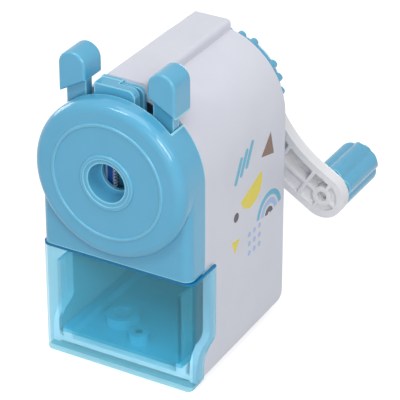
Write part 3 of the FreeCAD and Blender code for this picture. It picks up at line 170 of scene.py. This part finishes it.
# %% Light the studio
AMBIENT = (0.27, 0.275, 0.29)
FLOOR_PAPER = (0.50, 0.505, 0.52)
FLOOR_GLOW = 0.70
AFTER_MATT = 0.45
FLOOR_REACH = 6.0
FLOOR_CORNERS = 64
WHITE = (1.0, 1.0, 1.0)


def sees_the_ground(tree):
    """1 for rays from the camera, mirrors and clear plastic, less if they met a matt face, 0 for others."""
    path = add(tree, "LightPath")
    seen = path.outputs["Is Camera Ray"]
    for kind in ("Is Glossy Ray", "Is Transmission Ray"):
        seen = add(tree, "Math", {0: seen, 1: path.outputs[kind]}, operation="MAXIMUM").outputs[0]
    share = add(tree, "MapRange", {"Value": path.outputs["Diffuse Depth"],
                                   "To Min": 1.0, "To Max": AFTER_MATT})
    return add(tree, "Math", {0: seen, 1: share.outputs[0]}, operation="MULTIPLY").outputs[0]


def floor_finish():
    """Grey paper that takes shadows, with a glow that lifts it to white for rays that see the ground."""
    material = bpy.data.materials.new("floor_white")
    material.use_nodes = True
    tree = material.node_tree
    tree.nodes.remove(tree.nodes["Principled BSDF"])
    paper = add(tree, "BsdfDiffuse", {"Color": (*FLOOR_PAPER, 1.0)})
    glow = add(tree, "Emission", {"Strength": FLOOR_GLOW})
    bright = add(tree, "AddShader", {0: paper.outputs[0], 1: glow.outputs[0]})
    mixed = add(tree, "MixShader", {0: sees_the_ground(tree), 1: paper.outputs[0], 2: bright.outputs[0]})
    tree.links.new(mixed.outputs[0], tree.nodes["Material Output"].inputs["Surface"])
    return material


floor_mesh = bpy.data.meshes.new("floor")
bm = bmesh.new()
bmesh.ops.create_circle(bm, cap_ends=True, segments=FLOOR_CORNERS, radius=FLOOR_REACH)
bm.to_mesh(floor_mesh)
bm.free()
floor = bpy.data.objects.new("floor", floor_mesh)
floor_mesh.materials.append(floor_finish())
bpy.context.scene.collection.objects.link(floor)

world = bpy.data.worlds.new("studio")
world.use_nodes = True
bpy.context.scene.world = world
sky = world.node_tree
sky.nodes.clear()
room = add(sky, "Background", {"Color": (*AMBIENT, 1.0)})
backdrop = add(sky, "Background", {"Color": (*WHITE, 1.0)})
both = add(sky, "MixShader", {0: sees_the_ground(sky), 1: room.outputs[0], 2: backdrop.outputs[0]})
add(sky, "OutputWorld", {"Surface": both.outputs[0]})


def lamp(name, azimuth, elevation, distance, sides, roll, watts):
    """Soft lamp with two sides in metres, rolled about its beam by so many degrees."""
    made = bpy.data.objects.new(name, bpy.data.lights.new(name, "AREA"))
    made.data.shape = "RECTANGLE"
    made.data.size, made.data.size_y = sides
    made.data.energy = watts
    direction = towards(azimuth, elevation)
    made.location = CAMERA_TARGET + direction * distance
    aim = direction.to_track_quat("Z", "Y") @ Quaternion((0, 0, 1), math.radians(roll))
    made.rotation_euler = aim.to_euler()
    bpy.context.scene.collection.objects.link(made)


# Name, azimuth, elevation, distance, sides, roll, watts
LAMPS = [
    ("lamp_above", 15, 74, 1.1, (0.80, 0.80), 0, 4.2),
    ("lamp_front", -21, 47, 1.1, (0.42, 0.145), 47, 1.8),
    ("lamp_right", 77, 38, 1.0, (0.60, 0.15), -56, 1.0),
    ("lamp_key", 48, 28, 1.2, (0.50, 0.28), -56, 4.5),
    ("lamp_fill", 22, 16, 1.3, (0.60, 0.60), 0, 2.1),
    ("lamp_back", 185, 10, 1.2, (0.60, 0.40), 0, 4.0),
    ("lamp_left", 262, 12, 1.2, (0.60, 0.40), 0, 3.0),
]
for row in LAMPS:
    lamp(*row)
print(len(LAMPS), "lamps")

# %% [markdown]
# ## Moulded plastic
# Casing, front, ears, collar and crank are injection moulded: a smooth skin with a faint flow of tone, a
# slightly wavy gloss and edges that are never quite sharp. The tone and the gloss come from two sizes of
# noise, and a third, much finer, roughens the skin. A bevel node turns the shading normal at edges, so that
# they catch the light as moulded edges do. Blue plastic lets a little light through, and that light is
# painted into the colour: thin beads and outer edges are painted paler than broad faces, and the jaws' teeth
# are painted pale too, as painted light. An occlusion node that looks into the solid finds them: near an
# outer edge it soon meets another face.

# %% White, blue, dark and grey mouldings
EDGE_ROUND = 0.25 * MM
FLOW_GRAIN = 14 * MM
SKIN_GRAIN = 0.35 * MM
WAVE_GRAIN = 5 * MM
PALE_REACH = 0.7 * MM
# Open share in the occlusion node where paling begins, and where it is full
PALE_NONE, PALE_FULL = 0.95, 0.55
PALE_SAMPLES, EDGE_SAMPLES = 8, 4
SKIN_DEPTH, SKIN_STRENGTH = 0.004 * MM, 0.5
PLASTIC_IOR = 1.52


def painted_edge_light(tree, colour, edge_light):
    """Colour painted pale within PALE_REACH of an outer edge, as painted light; returns its socket."""
    inside = add(tree, "AmbientOcclusion", {"Distance": PALE_REACH}, inside=True, samples=PALE_SAMPLES)
    share = add(tree, "MapRange", {"Value": inside.outputs["AO"],
                                   "From Min": PALE_NONE, "From Max": PALE_FULL})
    return blend(tree, share.outputs[0], colour, edge_light)


def moulding(name, dark, light, gloss, edge_light=None):
    """Injection moulded plastic whose tone drifts from dark to light; gloss is its roughness range."""
    material, tree, shader, place = new_finish(name)
    flow = noise(tree, place, FLOW_GRAIN)
    colour = tones(tree, flow, dark, light)
    # Painted light: outer edges and thin beads get a paler colour that stands for light through the plastic.
    if edge_light:
        colour = painted_edge_light(tree, colour, edge_light)
    tree.links.new(colour, shader.inputs["Base Color"])
    wave = noise(tree, place, WAVE_GRAIN)
    shine = add(tree, "MapRange", {"Value": wave, "From Min": NOISE_LOW, "From Max": NOISE_HIGH,
                                   "To Min": gloss[0], "To Max": gloss[1]})
    tree.links.new(shine.outputs[0], shader.inputs["Roughness"])
    edges = add(tree, "Bevel", {"Radius": EDGE_ROUND}, samples=EDGE_SAMPLES)
    skin = add(tree, "Bump", {"Height": noise(tree, place, SKIN_GRAIN), "Distance": SKIN_DEPTH,
                              "Strength": SKIN_STRENGTH, "Normal": edges.outputs[0]})
    tree.links.new(skin.outputs[0], shader.inputs["Normal"])
    shader.inputs["IOR"].default_value = PLASTIC_IOR
    return material


white_moulding = moulding("white_moulding", (0.655, 0.665, 0.735), (0.675, 0.685, 0.755), (0.30, 0.38))
# Painted light: the crank arm is white plastic like the casing, but its colour is painted lighter to make up
# for the shade on its front and in its pockets.
arm_painted_light_moulding = moulding("arm_painted_light_moulding", (0.78, 0.782, 0.795), (0.80, 0.802, 0.815), (0.34, 0.42))
# The pale colours of the blue and the jaw mouldings are painted edge light.
blue_moulding = moulding("blue_moulding", (0.094, 0.402, 0.612), (0.104, 0.420, 0.635), (0.10, 0.14),
                         edge_light=(0.30, 0.76, 0.92))
jaw_moulding = moulding("jaw_moulding", (0.012, 0.085, 0.34), (0.018, 0.11, 0.42), (0.30, 0.40),
                        edge_light=(0.80, 0.86, 0.95))
bearing_moulding = moulding("bearing_moulding", (0.10, 0.105, 0.115), (0.13, 0.135, 0.145), (0.45, 0.55))
print("mouldings:", white_moulding.name, arm_painted_light_moulding.name, blue_moulding.name, jaw_moulding.name)

# %% [markdown]
# ## Clear blue plastic
# The drawer is clear polystyrene with a blue tint. Each wall lets most green and blue through and less
# red, and where one looks along a wall, into its cut edge, the tint adds up to a deep blue line. In Blender
# the straight rays from a lamp stop at real glass, which would leave the inside dark, so here the walls
# hardly bend light, a clear coat gives the gloss, and rays from the lamps meet a plain tinted film. A trace
# of blue haze scatters some of that light back. The side wings, the tray's floor and the level faces below
# it get deeper tints than the front: partly the plastic's tint, partly painted shade for the shaded casing
# and ground seen through them. So the tint is chosen by the way a face points and by its height. The deep
# line is painted on a narrow band at the top of the drawer.

# %% Clear drawer
FRONT_TINT = (0.76, 0.92, 0.97)
# The wing, floor and low tints are partly the plastic's tint and partly painted shade.
WING_TINT_AND_SHADE = (0.48, 0.68, 0.77)
FLOOR_TINT_AND_SHADE = (0.17, 0.55, 0.72)
LOW_TINT_AND_SHADE = (0.24, 0.42, 0.50)
LAMP_TINT = (0.75, 0.98, 1.0)
HAZE, HAZE_SHARE = (0.06, 0.64, 0.80), 0.08
DRAWER_EDGE = (0.0, 0.17, 0.40)
EDGE_BAND = 0.9 * MM
LOW_LEVEL_TOP = 5 * MM
# A face is turned away from an axis while its normal has no more than this along it
TURNED_AWAY = 0.7
CLEAR_GLOSS = (0.02, 0.06)
CLEAR_IOR, CLEAR_COAT = 1.05, 0.4


def clear_plastic(name, node):
    """Clear tinted plastic for one node, with a deep line along its top and deeper tints, partly painted
    shade, on wings, floors and low level faces.
    """
    material, tree, shader, place = new_finish(name)
    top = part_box(node)[1].z
    height = add(tree, "SeparateXYZ", {"Vector": place}).outputs["Z"]
    facing = add(tree, "SeparateXYZ", {"Vector": add(tree, "NewGeometry").outputs["True Normal"]})
    edge = add(tree, "Math", {0: height, 1: top - EDGE_BAND}, operation="GREATER_THAN")
    wing = add(tree, "Math", {0: facing.outputs["Y"], 1: 0.0, 2: TURNED_AWAY}, operation="COMPARE")
    upright = add(tree, "Math", {0: facing.outputs["Z"], 1: 0.0, 2: TURNED_AWAY}, operation="COMPARE")
    level = add(tree, "Math", {0: 1.0, 1: upright.outputs[0]}, operation="SUBTRACT")
    low = add(tree, "Math", {0: height, 1: LOW_LEVEL_TOP}, operation="LESS_THAN")
    low_level = add(tree, "Math", {0: level.outputs[0], 1: low.outputs[0]}, operation="MULTIPLY")
    colour = (*FRONT_TINT, 1.0)
    # Painted shade: wings, level faces and low level faces get deeper tints than the front.
    for where, tint in ((wing, WING_TINT_AND_SHADE), (level, FLOOR_TINT_AND_SHADE), (low_level, LOW_TINT_AND_SHADE), (edge, DRAWER_EDGE)):
        colour = blend(tree, where.outputs[0], colour, tint)
    tree.links.new(colour, shader.inputs["Base Color"])
    through = add(tree, "Math", {0: 1.0, 1: edge.outputs[0]}, operation="SUBTRACT")
    tree.links.new(through.outputs[0], shader.inputs["Transmission Weight"])
    shine = add(tree, "MapRange", {"Value": noise(tree, place, WAVE_GRAIN),
                                   "To Min": CLEAR_GLOSS[0], "To Max": CLEAR_GLOSS[1]})
    tree.links.new(shine.outputs[0], shader.inputs["Roughness"])
    shader.inputs["IOR"].default_value = CLEAR_IOR
    shader.inputs["Coat Weight"].default_value = CLEAR_COAT
    haze = add(tree, "BsdfDiffuse", {"Color": (*HAZE, 1.0)})
    hazy = add(tree, "MixShader", {0: HAZE_SHARE, 1: shader.outputs[0], 2: haze.outputs[0]})
    film = add(tree, "BsdfTransparent", {"Color": (*LAMP_TINT, 1.0)})
    from_lamp = add(tree, "LightPath").outputs["Is Shadow Ray"]
    both = add(tree, "MixShader", {0: from_lamp, 1: hazy.outputs[0], 2: film.outputs[0]})
    tree.links.new(both.outputs[0], tree.nodes["Material Output"].inputs["Surface"])
    return material


clear_blue = clear_plastic("clear_blue", "shavings_drawer")
print("clear:", clear_blue.name)

# %% [markdown]
# ## Metals and rubber
# The rods, screws, clips, shaft and springs are drawn steel, with fine marks that run from front to back as
# the rods do. The cutter is hardened and darker, and its cage is cast, with a coarser skin. All three are
# one metal tree with other numbers. The feet are matt rubber with a soft mottled grain.

# %% Metals and rubber
MARK_DETAIL, MARK_STRENGTH = 4.0, 0.4
RUBBER_GRAIN, RUBBER_DETAIL, RUBBER_ROUGHNESS = 0.6 * MM, 5.0, 0.75
RUBBER_DEPTH, RUBBER_STRENGTH = 0.03 * MM, 0.5


def metal(name, dark, light, gloss, stretch, grain, depth):
    """Metal with marks of grain metres; a small stretch along X, Y or Z draws them out that way."""
    material, tree, shader, place = new_finish(name)
    drawn = add(tree, "Mapping", {"Vector": place, "Scale": stretch}).outputs[0]
    marks = noise(tree, drawn, grain, MARK_DETAIL)
    tree.links.new(tones(tree, marks, dark, light), shader.inputs["Base Color"])
    shine = add(tree, "MapRange", {"Value": marks, "To Min": gloss[0], "To Max": gloss[1]})
    tree.links.new(shine.outputs[0], shader.inputs["Roughness"])
    skin = add(tree, "Bump", {"Height": marks, "Distance": depth, "Strength": MARK_STRENGTH})
    tree.links.new(skin.outputs[0], shader.inputs["Normal"])
    shader.inputs["Metallic"].default_value = 1.0
    return material


def rubber(name, dark, light):
    """Matt rubber with a mottled grain."""
    material, tree, shader, place = new_finish(name)
    mottle = noise(tree, place, RUBBER_GRAIN, RUBBER_DETAIL)
    tree.links.new(tones(tree, mottle, dark, light), shader.inputs["Base Color"])
    skin = add(tree, "Bump", {"Height": mottle, "Distance": RUBBER_DEPTH, "Strength": RUBBER_STRENGTH})
    tree.links.new(skin.outputs[0], shader.inputs["Normal"])
    shader.inputs["Roughness"].default_value = RUBBER_ROUGHNESS
    return material


drawn_steel = metal("drawn_steel", grey(0.50), grey(0.68), (0.18, 0.36), (6, 0.5, 6), 0.8 * MM, 0.004 * MM)
hard_steel = metal("hard_steel", grey(0.24), grey(0.38), (0.22, 0.42), (1, 1, 1), 0.5 * MM, 0.01 * MM)
cast_metal = metal("cast_metal", grey(0.42), grey(0.56), (0.42, 0.60), (1, 1, 1), 0.9 * MM, 0.03 * MM)
foot_rubber = rubber("foot_rubber", grey(0.018), grey(0.030))
print("metals:", drawn_steel.name, hard_steel.name, cast_metal.name)

# %% [markdown]
# ## Dress the solids
# The solids already have the right shape, so they are kept and only change their material. The table
# follows the object: what is moulded in white, what in blue, what is clear, and what is metal.

# %% Give each solid its finish
DRESS = {
    white_moulding: ("housing_shell", "base_plate", "bulkhead", "cutter_barrel"),
    arm_painted_light_moulding: ("crank_arm",),
    blue_moulding: ("face_shell", "guide_plate", "top_guide", "left_lever", "right_lever", "lock_collar",
                    "crank_knob"),
    jaw_moulding: ("left_jaw", "right_jaw"),
    clear_blue: ("shavings_drawer",),
    bearing_moulding: ("rod_bushes", "front_bush", "rear_bush", "cutter_pinion", "ring_gear"),
    drawn_steel: ("base_screws", "face_screws", "guide_rods", "rod_clips", "drive_shaft", "cutter_axle",
                  "crank_screw", "knob_pin"),
    hard_steel: ("helical_cutter",),
    cast_metal: ("cutter_cage",),
    foot_rubber: ("rubber_feet",),
}
for finish, names in DRESS.items():
    for name in names:
        nodes[name].data.materials.clear()
        nodes[name].data.materials.append(finish)
print(sum(len(names) for names in DRESS.values()), "solids dressed")

# %% [markdown]
# ## Wound springs
# Two long springs on the guide rods pull the front back, and two small ones push the ears apart. A spring
# could be left as the plain solid, but a real one has closed end turns, so each is wound again as a curve
# with a round wire: the first and last turn lie wire on wire and the rest is evenly open. Each coil is hung
# on the body it rides with.

# %% Wind the springs
POINTS_PER_TURN = 24
WIRE_ROUNDING = 3
CLOSED_TURNS = 1.0


def coil_mesh(name, length, radius, wire, turns):
    """Wire spring along X, from 0 to length, with closed end turns."""
    curve = bpy.data.curves.new(name, "CURVE")
    curve.dimensions = "3D"
    curve.bevel_depth = wire / 2
    curve.bevel_resolution = WIRE_ROUNDING
    curve.use_fill_caps = True
    steps = int(turns * POINTS_PER_TURN)
    closed = CLOSED_TURNS * wire
    open_pitch = (length - wire - 2 * closed) / (turns - 2 * CLOSED_TURNS)
    spline = curve.splines.new("POLY")
    spline.points.add(steps)
    for index, point in enumerate(spline.points):
        turn = index / POINTS_PER_TURN
        middle = min(max(turn - CLOSED_TURNS, 0.0), turns - 2 * CLOSED_TURNS)
        along = wire / 2 + (turn - middle) * wire + middle * open_pitch
        angle = 2 * math.pi * turn
        point.co = (along, radius * math.cos(angle), radius * math.sin(angle), 1.0)
    holder = bpy.data.objects.new(name + "_line", curve)
    mesh = bpy.data.meshes.new_from_object(holder)
    bpy.data.objects.remove(holder)
    bpy.data.curves.remove(curve)
    for polygon in mesh.polygons:
        polygon.use_smooth = True
    return mesh


def add_piece(name, mesh, finish, body):
    """New piece of the object, with its finish and the body that it rides on."""
    piece = bpy.data.objects.new(name, mesh)
    mesh.materials.clear()
    mesh.materials.append(finish)
    bpy.context.scene.collection.objects.link(piece)
    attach(piece, body)
    return piece


RETURN_WIRE, RETURN_TURNS = 0.7 * MM, 12
CLAMP_WIRE, CLAMP_TURNS = 0.5 * MM, 7

low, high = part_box("return_springs")
return_length = high.y - low.y
return_radius = (high.z - low.z - RETURN_WIRE) / 2
spring_x = (high.x - low.x) / 2 - return_radius - RETURN_WIRE / 2
pair = bmesh.new()
for side in (-1, 1):
    mesh = coil_mesh("return_coil", return_length, return_radius, RETURN_WIRE, RETURN_TURNS)
    mesh.transform(Matrix.Rotation(math.pi / 2, 4, "Z"))
    mesh.transform(Matrix.Translation((side * spring_x, low.y, (low.z + high.z) / 2)))
    pair.from_mesh(mesh)
pair_mesh = bpy.data.meshes.new("return_coils")
pair.to_mesh(pair_mesh)
pair.free()
return_coils = add_piece("return_coils", pair_mesh, drawn_steel, "frame")
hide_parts("return_springs")
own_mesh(return_coils)

for side, hand in ((-1, "left"), (1, "right")):
    low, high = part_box(hand + "_clamp_spring")
    length = high.x - low.x
    mesh = coil_mesh(hand + "_coil", length, (high.z - low.z - CLAMP_WIRE) / 2, CLAMP_WIRE, CLAMP_TURNS)
    start = low.x if side > 0 else high.x
    if side < 0:
        mesh.transform(Matrix.Rotation(math.pi, 4, "Z"))
    mesh.transform(Matrix.Translation((start, (low.y + high.y) / 2, (low.z + high.z) / 2)))
    coil = add_piece(hand + "_clamp_coil", mesh, drawn_steel, "carriage")
    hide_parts(hand + "_clamp_spring")
    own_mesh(coil)
print("return springs", round(return_length / MM, 1), "mm long")

# %% [markdown]
# ## The printed side
# The right side of the casing carries a pad print in yellow, two light blues, brown and dark grey. Ink could
# be painted in the casing's material, but then its outline is only as sharp as a formula allows. Here each
# motif is a thin film of its own, laid on the wall: every point of its outline is dropped on the casing
# along X, so that the film follows the slope of the wall.

# %% Inks
INK_GRAIN, INK_DETAIL = 0.5 * MM, 4.0
INK_COVER = (0.35, 0.6)
INK_GLOSS = (0.32, 0.5)
THIN_SHARE, THIN_WHITE = 0.93, 0.05


def ink(name, colour):
    """Printing ink: one colour with fine uneven cover."""
    material, tree, shader, place = new_finish(name)
    cover = noise(tree, place, INK_GRAIN, INK_DETAIL)
    thin = tuple(THIN_SHARE * channel + THIN_WHITE for channel in colour)
    shade = ramp(tree, cover, (INK_COVER[0], thin), (INK_COVER[1], colour))
    tree.links.new(shade, shader.inputs["Base Color"])
    shine = add(tree, "MapRange", {"Value": cover, "To Min": INK_GLOSS[0], "To Max": INK_GLOSS[1]})
    tree.links.new(shine.outputs[0], shader.inputs["Roughness"])
    return material


yellow_ink = ink("yellow_ink", (0.80, 0.66, 0.03))
blue_ink = ink("blue_ink", (0.11, 0.45, 0.62))
pale_ink = ink("pale_ink", (0.36, 0.50, 0.76))
brown_ink = ink("brown_ink", (0.20, 0.10, 0.06))
dark_ink = ink("dark_ink", (0.035, 0.035, 0.04))
print("five inks")

# %% Motif outlines, in millimetres across and up the wall
ARC_STEPS = 24
# First and last angle of a whole dot, whose last side closes it
ROUND = (0, 345)


def arc(across, up, radius, first, last):
    """Points on an arc, from the first to the last angle in degrees."""
    angles = [math.radians(first + (last - first) * step / ARC_STEPS) for step in range(ARC_STEPS + 1)]
    return [(across + radius * math.cos(a), up + radius * math.sin(a)) for a in angles]


def bow(across, up, radius, width, first, last):
    """Part of a ring, as wide as width."""
    return arc(across, up, radius, first, last) + arc(across, up, radius - width, last, first)


def bar(across, up, length, width, tilt):
    """Straight stroke with round ends."""
    lean = math.radians(tilt)
    reach = (length - width) / 2
    step = Vector((math.cos(lean), math.sin(lean))) * reach
    return (arc(across + step.x, up + step.y, width / 2, tilt - 90, tilt + 90)
            + arc(across - step.x, up - step.y, width / 2, tilt + 90, tilt + 270))


def wedge(across, up, radius, tilt):
    """Triangle with equal sides, round a middle point."""
    corners = [math.radians(tilt + 120 * corner) for corner in range(3)]
    return [(across + radius * math.cos(a), up + radius * math.sin(a)) for a in corners]


MOTIFS = [
    ("half_disc", yellow_ink, arc(6.0, 66.0, 8.5, 200, 380)),
    ("wedge_large", brown_ink, wedge(19.5, 76.0, 6.0, 75)),
    ("wedge_small", yellow_ink, wedge(-6.0, 47.0, 3.6, 20)),
    ("drop_dot", dark_ink, arc(-5.5, 58.5, 1.9, *ROUND)),
]
MOTIFS += [(f"bow_{step}", finish, bow(20.5, 47.0, 10.0 - 3.4 * step, 2.2, 10, 170))
           for step, finish in enumerate((blue_ink, pale_ink, dark_ink))]
MOTIFS += [(f"stripe_{step}", blue_ink, bar(-4.0 + 4.2 * step, 77.0 + 1.6 * step, 11.0, 2.2, 62))
           for step in range(3)]
MOTIFS += [(f"dot_{row}_{column}", pale_ink, arc(5.0 + 4.0 * column, 38.0 + 4.0 * row, 1.1, *ROUND))
           for row in range(3) for column in range(3)]
print(len(MOTIFS), "motifs")

# %% Lay the films on the wall
FILM = 0.04 * MM
# Metres to the right of the middle, well outside the casing
RAY_START = 1.0
casing_mesh = nodes["housing_shell"].data
casing = BVHTree.FromPolygons([v.co for v in casing_mesh.vertices],
                              [p.vertices for p in casing_mesh.polygons])


def on_wall(across, up, lift):
    """Point of the right wall, lifted off it along its normal."""
    spot, normal, _, _ = casing.ray_cast(Vector((RAY_START, across * MM, up * MM)), Vector((-1, 0, 0)))
    return spot + normal * lift


def film(name, outline, finish):
    """Lay a thin closed film of ink over an outline."""
    shape = bmesh.new()
    front = [shape.verts.new(on_wall(across, up, FILM)) for across, up in outline]
    rear = [shape.verts.new(on_wall(across, up, -FILM)) for across, up in outline]
    shape.faces.new(front)
    shape.faces.new(rear[::-1])
    count = len(outline)
    for index in range(count):
        after = (index + 1) % count
        shape.faces.new((front[after], front[index], rear[index], rear[after]))
    bmesh.ops.recalc_face_normals(shape, faces=shape.faces)
    mesh = bpy.data.meshes.new(name)
    shape.to_mesh(mesh)
    shape.free()
    add_piece("print_" + name, mesh, finish, "frame")


for name, finish, outline in MOTIFS:
    film(name, outline, finish)
print("printed", len(MOTIFS), "films")
